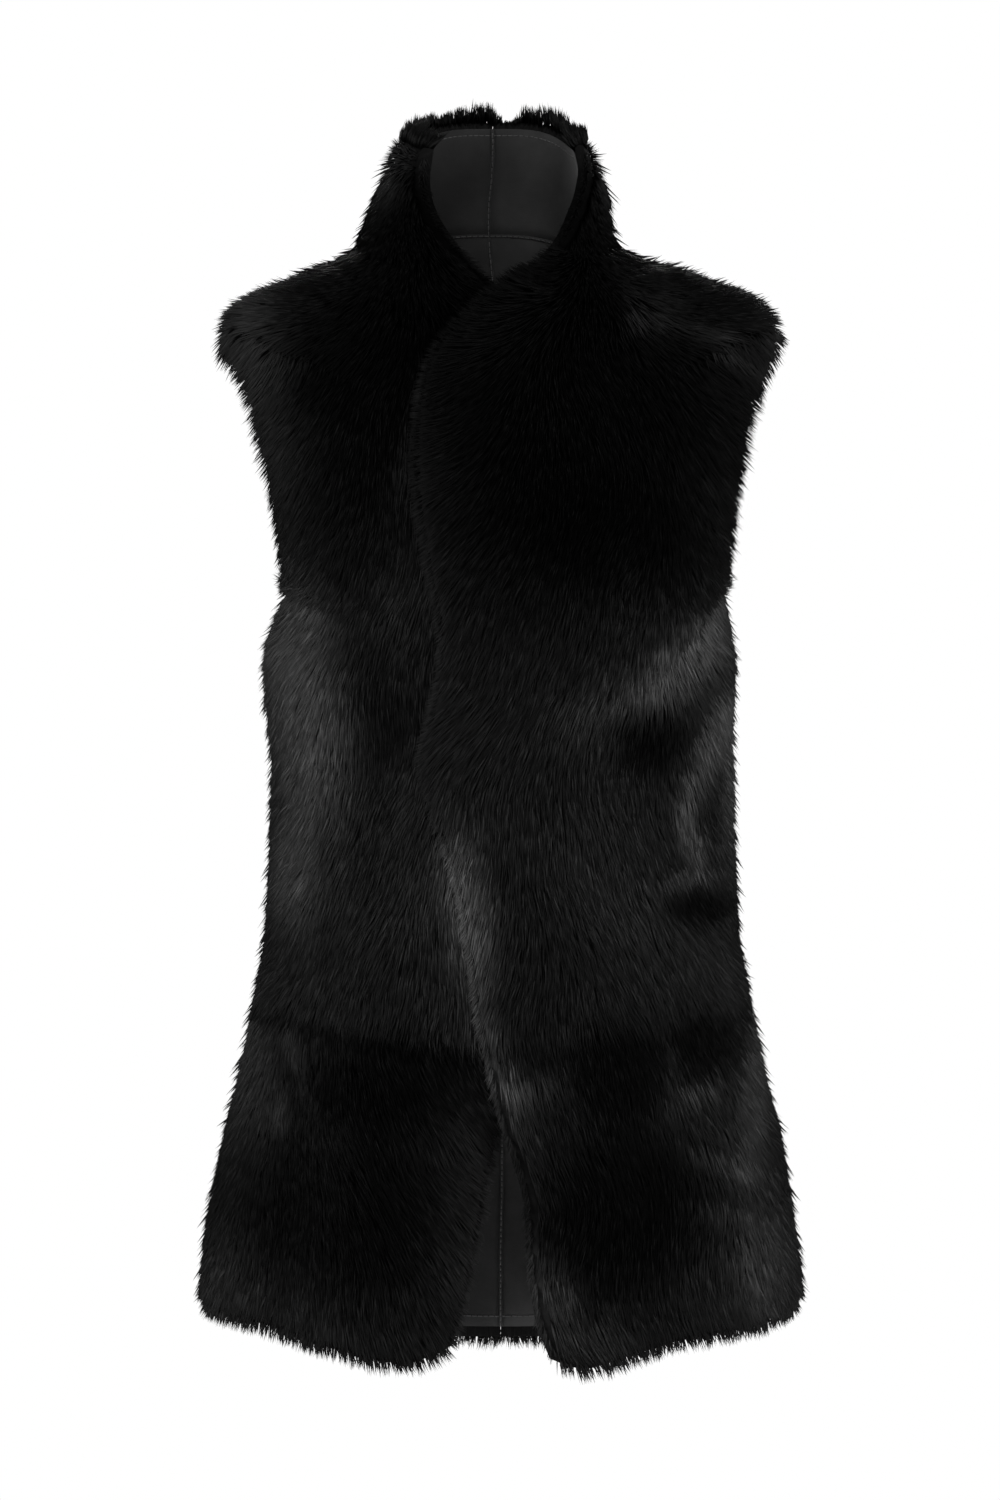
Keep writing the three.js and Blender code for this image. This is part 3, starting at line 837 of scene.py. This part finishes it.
def lie_angle(panel, outward, up):
    """The way the wool lies, from straight down towards the side, at a share outward."""
    edge, half, side = (along(panel.lie, column, up) for column in ("edge", "half", "side"))
    return edge + (half - edge) * ease(0, 0.5, outward) + (side - half) * ease(0.5, 1, outward)


def combed(panel, rng, s, up, base, across, rising):
    """The unit way each strand is combed along the skin."""
    turn = soft_noise(base, 90, 5) * 8 + soft_noise(base, 28, 6) * 3.5 + rng.normal(0, 3.5, len(s))
    sign = 1 if panel.first_is_inner else -1
    theta = np.radians(sign * lie_angle(panel, panel.outward(s), up) + turn)
    return across * np.sin(theta)[:, None] - rising * np.cos(theta)[:, None]


def within_overhang(panel, rng, s, t, heading, across, rising):
    """Strands drawn in so that they hang only so far over a free edge."""
    step = 0.01
    before, after = np.maximum(s - step, 0), np.minimum(s + step, 1)
    wide = np.linalg.norm(panel.base(after, t) - panel.base(before, t), axis=-1) / (after - before)
    long = panel.high - panel.low
    up = panel.up(t, s)
    room = rng.uniform(*OVERHANG, len(s))
    outer_room = room * (1 - (1 - ARMHOLE_OVERHANG_SHARE) * ease(ARMHOLE_BOTTOM, ARMHOLE_BOTTOM + 80, up))
    first_room, last_room = (room, outer_room) if panel.first_is_inner else (outer_room, room)
    share = np.ones(len(s))
    over = np.sum(heading * across, -1)
    rise = np.sum(heading * rising, -1)
    for reach, limit, free in (
        (-over, s * wide + first_room, panel.free_first(up)),
        (over, (1 - s) * wide + last_room, panel.free_last(up)),
        (-rise, t * long + room, panel.free_low + 0 * up),
        (rise, (1 - t) * long + room, panel.free_high + 0 * up),
    ):
        limit = limit / np.maximum(reach, 1e-6)
        share = np.where((free > 0.3) & (reach > 0), np.minimum(share, limit), share)
    return heading * np.clip(share, 0.35, 1)[:, None]


def gathered(rng, root, tip, pull):
    """Tips drawn towards the tip of the strand that leads their lock, and each strand's leader."""
    leaders = rng.choice(len(root), size=len(root) // LOCK_STRANDS, replace=False)
    tree = KDTree(len(leaders))
    for k, leader in enumerate(leaders):
        tree.insert(root[leader], k)
    tree.balance()
    lead = leaders[[tree.find(p)[1] for p in root]]
    return tip + (tip[lead] + 0.4 * (root - root[lead]) - tip) * pull[:, None], lead


def face_strands(panel, rng):
    """Strands spread evenly over a panel: root, tip, normal, depth of black with painted highlights and
    shade, and breadth.
    """
    cells_s, cells_t = 40, 60
    grid_s, grid_t = np.meshgrid(np.linspace(0, 1, cells_s + 1), np.linspace(0, 1, cells_t + 1))
    corner = panel.base(grid_s, grid_t)
    edge_a, edge_b = corner[:-1, 1:] - corner[:-1, :-1], corner[1:, :-1] - corner[:-1, :-1]
    cell_area = np.linalg.norm(np.cross(edge_a, edge_b), axis=-1).ravel()
    count = int(cell_area.sum() / 100 * STRANDS_PER_CM2[panel.kind])
    cell = rng.choice(len(cell_area), size=count, p=cell_area / cell_area.sum())
    s = (cell % cells_s + rng.random(count)) / cells_s
    t = (cell // cells_s + rng.random(count)) / cells_t
    if not panel.over and panel.kind != "back":
        up = panel.up(t, s)
        shown = panel.angle(up, s) < along(FRONT_EDGES, "over", up) + front_angle(26, up)
        s, t = s[shown], t[shown]
    base, normal, across, rising, angle, up = panel.frame_at(s, t)
    height = panel.wool(angle, up)
    count = len(s)
    to_top = (1 - t) * (panel.high - panel.low) if panel.free_high else np.full(count, 100.0)
    strand = rng.uniform(*STRAND_LENGTH, count)
    root = base + normal * (height * STRAND_ROOT)[:, None]
    tip_share = rng.uniform(0.84, 1.06, count) + (rng.random(count) < 0.1) * rng.uniform(0, 0.35, count)
    tip_share = tip_share * (0.78 + 0.22 * ease(0, 14, to_top))
    climb = np.clip(height * (tip_share - STRAND_ROOT) / strand, 0.03, 0.75)
    flat = np.sqrt(1 - climb ** 2) * np.clip(to_top / 15 - 0.6, -0.6, 1)
    strand = strand * climb / np.sqrt(1 - flat ** 2)
    climb = np.sqrt(1 - flat ** 2)
    strand = np.maximum(strand, 7)
    heading = combed(panel, rng, s, up, base, across, rising) * flat[:, None]
    heading = (heading + normal * climb[:, None]) * strand[:, None]
    heading = within_overhang(panel, rng, s, t, heading, across, rising)
    tip, lead = gathered(rng, root, root + heading, 0.2 + 0.1 * soft_noise(base, 45, 9))
    # Painted highlights and shade from the patches, with random tone for each strand and each lock.
    stops = painted_light(root) + rng.normal(0, TONE_SPREAD, count) + rng.normal(0, LOCK_TONE_SPREAD, count)[lead]
    stops = stops + 0.25 * soft_noise(base, 120, 11)
    # Painted shadow just below the hip seam, where the upper panel's wool hangs over the skirt.
    if panel.kind == "front" and panel.low == 0:
        shade = HIP_SEAM_SHADE["over" if panel.over else "under"]
        stops = stops - shade * np.exp(-((HIP_SEAM - up) / 8) ** 2)
    return root, tip, normal, stops, np.ones(count)


def rim_strands(panel, rng, which):
    """Strands round a free rim, fanned from outward to upright and combed with the rest."""
    tries = 6000
    along_rim = np.sort(rng.random(tries))
    fixed = np.full(tries, 1.0 if which in ("last", "high") else 0.0)
    s, t = (fixed, along_rim) if which in ("first", "last") else (along_rim, fixed)
    way = panel.spill(s, t)
    spill_length = np.linalg.norm(way, axis=-1)
    rim_length = np.linalg.norm(np.diff(panel.base(s, t), axis=0), axis=-1).sum()
    upstanding = which == "high"
    armhole = panel.kind != "collar" and which == ("last" if panel.first_is_inner else "first")
    foot = armhole * np.exp(-((panel.up(t, s) - ARMHOLE_BOTTOM + 3) / 16) ** 2)
    crowd = TOP_CROWD if upstanding else 1
    chosen = rng.permutation(tries)[: int(rim_length / 10 * EDGE_STRANDS_PER_CM * crowd)]
    chosen = chosen[(spill_length[chosen] > 2) | (foot[chosen] > 0.3)]
    foot = foot[chosen]
    s, t, way, spill_length = s[chosen], t[chosen], unit(way[chosen]), spill_length[chosen]
    base, normal, across, rising, angle, up = panel.frame_at(s, t)
    count = len(s)
    height = panel.wool(angle, up)
    comb = combed(panel, rng, s, up, base, across, rising)
    reach = rng.uniform(0.7, 1.15, count) * (0.35 + 0.65 * spill_length / EDGE_SPILL)
    if upstanding:
        deep = rng.uniform(0.06, 0.55, count)
        fan = (deep - 0.4) * 0.6 + rng.normal(0, 0.14, count)
        parting = 1 - 0.6 * np.exp(-((base[:, 0] - 2) / 9) ** 4) + 0.2 * soft_noise(base, 26, 13)
        reach = reach * RIM_REACH[which] * (1.12 - 0.62 * deep) * parting
    else:
        deep = np.full(count, 0.38)
        fan = rng.uniform(-0.5, 1.3, count)
        reach = reach * RIM_REACH[which]
        reach = reach * (1 - 0.3 * armhole * ease(ARMHOLE_BOTTOM, ARMHOLE_BOTTOM + 80, up))
    push = way * np.cos(fan)[:, None] + normal * np.sin(fan)[:, None]
    upward = normal * rng.uniform(0.4, 0.9, (count, 1)) + rising * rng.uniform(0.7, 1.7, (count, 1))
    push = push * (1 - foot)[:, None] + 2.2 * upward * foot[:, None]
    reach = np.maximum(reach, FOOT_REACH * foot * rng.uniform(0.7, 1.1, count))
    root = base + normal * (height * deep)[:, None] + way * (spill_length * 0.2)[:, None]
    heading = push * (1.2 if upstanding else 0.62) + comb * (-0.05 if upstanding else 0.75)
    end_rim = which in ("low", "high")
    lengthways = unit(np.cross(normal, way)) if end_rim else unit(np.cross(way, normal))
    heading = unit(heading + lengthways * rng.normal(0, 0.27 if end_rim else 0.08, count)[:, None])
    tip = root + heading * reach[:, None]
    tip = gathered(rng, root, tip, np.full(count, 0.5 if upstanding else 0.25))[0]
    # Painted highlights and shade from the patches, with random tone; the upstanding rim is darker.
    stops = painted_light(root) + rng.normal(0, 0.4, count) - (0.6 if upstanding else 0.1)
    return root, tip, unit(push + 0.3 * normal), stops, np.full(count, 1.5 if upstanding else 1)


def wool(panel, seed):
    """A panel's strands, over its face and round its free rims, as one piece."""
    rng = np.random.default_rng(seed)
    sets = [face_strands(panel, rng)]
    for which in ("first", "last", "low", "high"):
        middle_up = panel.up(np.linspace(0, 1, 9), 0.5)
        amount = {
            "first": panel.free_first(middle_up).max(),
            "last": panel.free_last(middle_up).max(),
            "low": panel.free_low,
            "high": panel.free_high,
        }[which]
        if amount > 0:
            sets.append(rim_strands(panel, rng, which))
    root, tip, normal, stops, breadth = (np.concatenate(part) for part in zip(*sets))
    doublings = int(math.log2(len(root) / 24))
    row_length = len(root) >> doublings
    chosen = rng.permutation(len(root))[: row_length << doublings]
    root, tip, normal, stops, breadth = (a[chosen] for a in (root, tip, normal, stops, breadth))
    heading = tip - root
    long = np.linalg.norm(heading, axis=-1, keepdims=True)
    side = unit(np.cross(heading, normal))
    rise = unit(np.cross(side, heading))
    bow = rise * (long * STRAND_BOW * rng.uniform(0.5, 1.8, (len(root), 1)))
    broad = side * (STRAND_WIDTH * rng.uniform(0.7, 1.3, len(root)) * breadth)[:, None]
    bm = strand_field(row_length, doublings)
    piece = finish_piece(panel.name + "_wool", bm, WOOL_STRANDS, panel.name)
    mesh = piece.data
    local = np.zeros(3 * len(mesh.vertices), np.float32)
    mesh.vertices.foreach_get("co", local)
    local = local.reshape(-1, 3)
    column = np.round(local[:, 0] / COPY_STEP).astype(int)
    row = np.round(local[:, 2] / COPY_STEP).astype(int)
    strand = row * row_length + column
    x, y, z = local[:, 0] - COPY_STEP * column, local[:, 1], local[:, 2] - COPY_STEP * row
    place = root[strand] + x[:, None] * broad[strand]
    place = place + y[:, None] * heading[strand] + z[:, None] * bow[strand]
    mesh.vertices.foreach_set("co", (place * MM).astype(np.float32).ravel())
    # Painted shade: each strand is darker towards its root, ROOT_SHADE stops at the root itself.
    depth = as_depth(stops[strand] - ROOT_SHADE * (1 - y) ** 1.5)
    mesh.attributes.new("depth", "FLOAT", "POINT").data.foreach_set("value", depth.astype(np.float32))
    mesh.update()
    return piece


def ridge(name, path):
    """A seam's folded ridge along a path on the skin side, set a little inside it."""
    bm = bmesh.new()
    bmesh.ops.create_cone(bm, cap_ends=True, segments=8, radius1=1, radius2=1, depth=1)
    long_edges = [e for e in bm.edges if abs(e.verts[0].co.z - e.verts[1].co.z) > 0.5]
    bmesh.ops.subdivide_edges(bm, edges=long_edges, cuts=len(path) - 2)
    points, normals = path[:, 0], path[:, 1]
    ways = unit(np.gradient(points, axis=0))
    across = unit(np.cross(ways, normals))
    for v in bm.verts:
        k = round((v.co.z + 0.5) * (len(path) - 1))
        middle = points[k] - normals[k] * RIDGE_INSIDE
        round_it = across[k] * (v.co.x * RIDGE_RADIUS) + normals[k] * (v.co.y * RIDGE_RADIUS)
        v.co = (middle + round_it) * MM
    bmesh.ops.recalc_face_normals(bm, faces=bm.faces[:])
    return finish_piece(name, bm, SUEDE, None)


def seam_path(points, lift=no_lift):
    """Points and outward normals at a list of (angle, up)."""
    angle, up = np.array(points, float).T
    normal = skin_normal(angle, up)
    return np.stack([skin_point(angle, up) + normal * lift(angle, up)[:, None], normal], 1)


def stitches(name, path, inside):
    """A row of stitches along a path on the skin side."""
    points = path[:, 0] - path[:, 1] * inside
    distance = np.append(0, np.cumsum(np.linalg.norm(np.diff(points, axis=0), axis=1)))
    bm = bmesh.new()
    for start in np.arange(0, distance[-1] - STITCH_PITCH, STITCH_PITCH):
        low, high = (
            Vector([np.interp(at, distance, points[:, k]) for k in range(3)]) * MM
            for at in (start, start + STITCH_LENGTH)
        )
        turn = (high - low).to_track_quat("Z", "Y").to_matrix().to_4x4()
        place = Matrix.Translation((low + high) / 2) @ turn
        thick = STITCH_RADIUS * MM
        bmesh.ops.create_cone(
            bm, cap_ends=True, segments=5, radius1=thick, radius2=thick,
            depth=(high - low).length, matrix=place,
        )
    return finish_piece(name, bm, THREAD, None)


def up_the(angle, low, high, step=12):
    """A route up the garment at one angle."""
    ups = np.linspace(low, high, max(3, round((high - low) / step)))
    return [(angle, up) for up in ups]


def round_at(up, low, high, step=5):
    """A route round the garment at one way up."""
    angles = np.linspace(low, high, max(3, round(abs(high - low) / step)))
    return [(angle, up) for angle in angles]


def hip_route(sign, inner):
    """Along a front's hip seam, from an angle at the lap to near the side seam."""
    return round_at(HIP_SEAM, sign * inner, sign * 88)


for number, panel in enumerate(PANELS):
    skin, coat = sheepskin(panel)
    strands = wool(panel, FIRST_SEED + number)

# Seams on the skin side: name, route, lift over the body's skin side, and whether stitches show.
SEAMS = [
    ("back_seam", up_the(180, 0, NECK_SEAM), no_lift, True),
    ("collar_back_seam", up_the(180, NECK_SEAM, COLLAR_TOP, 8), no_lift, True),
    ("neck_seam", round_at(NECK_SEAM, -24, -320), no_lift, True),
    ("left_side_seam", up_the(90, 3, ARMHOLE_BOTTOM - 3), no_lift, False),
    ("right_side_seam", up_the(-90, 3, ARMHOLE_BOTTOM - 3), no_lift, False),
    ("left_shoulder_seam", up_the(90, SHOULDER_TIP + 3, NECK_SEAM - 2), no_lift, False),
    ("right_shoulder_seam", up_the(-90, SHOULDER_TIP + 3, NECK_SEAM - 2), no_lift, False),
    ("left_hip_seam", hip_route(1, 6), lap_lift, False),
    ("right_hip_seam", hip_route(-1, 0), no_lift, False),
]
for name, route, lift, sewn in SEAMS:
    path = seam_path(route, lift)
    ridge(name, path)
    if sewn:
        stitches(name + "_stitches", path, RIDGE_RADIUS + RIDGE_INSIDE)
stitches("collar_topstitch", seam_path(round_at(COLLAR_TOP - 7, 92, 308)), TOPSTITCH_INSIDE)
stitches("back_hem_topstitch", seam_path(round_at(8, 95, 265)), TOPSTITCH_INSIDE)


# Camera, light and floor.

def aim(obj, target):
    """Turns a light to shine at a target."""
    way = np.array(target) - np.array(obj.location)
    obj.rotation_euler = (
        math.atan2(math.hypot(way[0], way[1]), -way[2]),
        0,
        math.atan2(way[1], way[0]) - math.pi / 2,
    )


def soft_light(name, place, target, size, power):
    data = bpy.data.lights.new(name, "AREA")
    data.shape = "RECTANGLE"
    data.size, data.size_y = size
    data.energy = power
    light = bpy.data.objects.new(name, data)
    light.location = place
    bpy.context.scene.collection.objects.link(light)
    aim(light, target)
    return light


camera_data = bpy.data.cameras.new("camera")
camera_data.sensor_width = 36
camera_data.lens = 36 * FOCAL_PIXELS / FRAME_HEIGHT
camera = bpy.data.objects.new("camera", camera_data)
camera.location = CAMERA_PLACE
camera.rotation_euler = (math.pi / 2, 0, 0)
bpy.context.scene.collection.objects.link(camera)
bpy.context.scene.camera = camera

MIDDLE = (0, 0, -0.4)
soft_light("left softbox", (-2.1, -1.5, 0.0), MIDDLE, (1.0, 1.8), 75)
soft_light("right softbox", (2.1, -1.5, 0.0), MIDDLE, (1.0, 1.8), 75)
soft_light("front fill", (0.2, -3.0, 0.6), MIDDLE, (1.6, 1.2), 45)
soft_light("back light", (0, 2.6, 0.7), MIDDLE, (2.0, 1.4), 140)

world = bpy.data.worlds.new("studio")
world.use_nodes = True
bpy.context.scene.world = world
world_nodes, world_links = world.node_tree.nodes, world.node_tree.links
background = world_nodes["Background"]
seen = world_nodes.new("ShaderNodeLightPath").outputs["Is Camera Ray"]
world_links.new(spread(world_nodes, world_links, seen, 0.16, 1), background.inputs["Strength"])
background.inputs["Color"].default_value = (1, 1, 1, 1)

floor_bm = bmesh.new()
bmesh.ops.create_cone(floor_bm, cap_ends=True, segments=96, radius1=1.1, radius2=1.1, depth=0.02)
bmesh.ops.translate(floor_bm, verts=floor_bm.verts, vec=(0, 0, -1.43))
floor_mesh = bpy.data.meshes.new("floor")
floor_bm.to_mesh(floor_mesh)
floor_bm.free()
floor = bpy.data.objects.new("floor", floor_mesh)
bpy.context.scene.collection.objects.link(floor)
floor_material, floor_nodes, floor_links, floor_bsdf = new_material("pale_floor")
floor_bsdf.inputs["Base Color"].default_value = (0.82, 0.82, 0.82, 1)
floor_bsdf.inputs["Roughness"].default_value = 0.9
floor_mesh.materials.append(floor_material)

scene = bpy.context.scene
scene.view_settings.view_transform = "Standard"
scene.view_settings.look = "None"
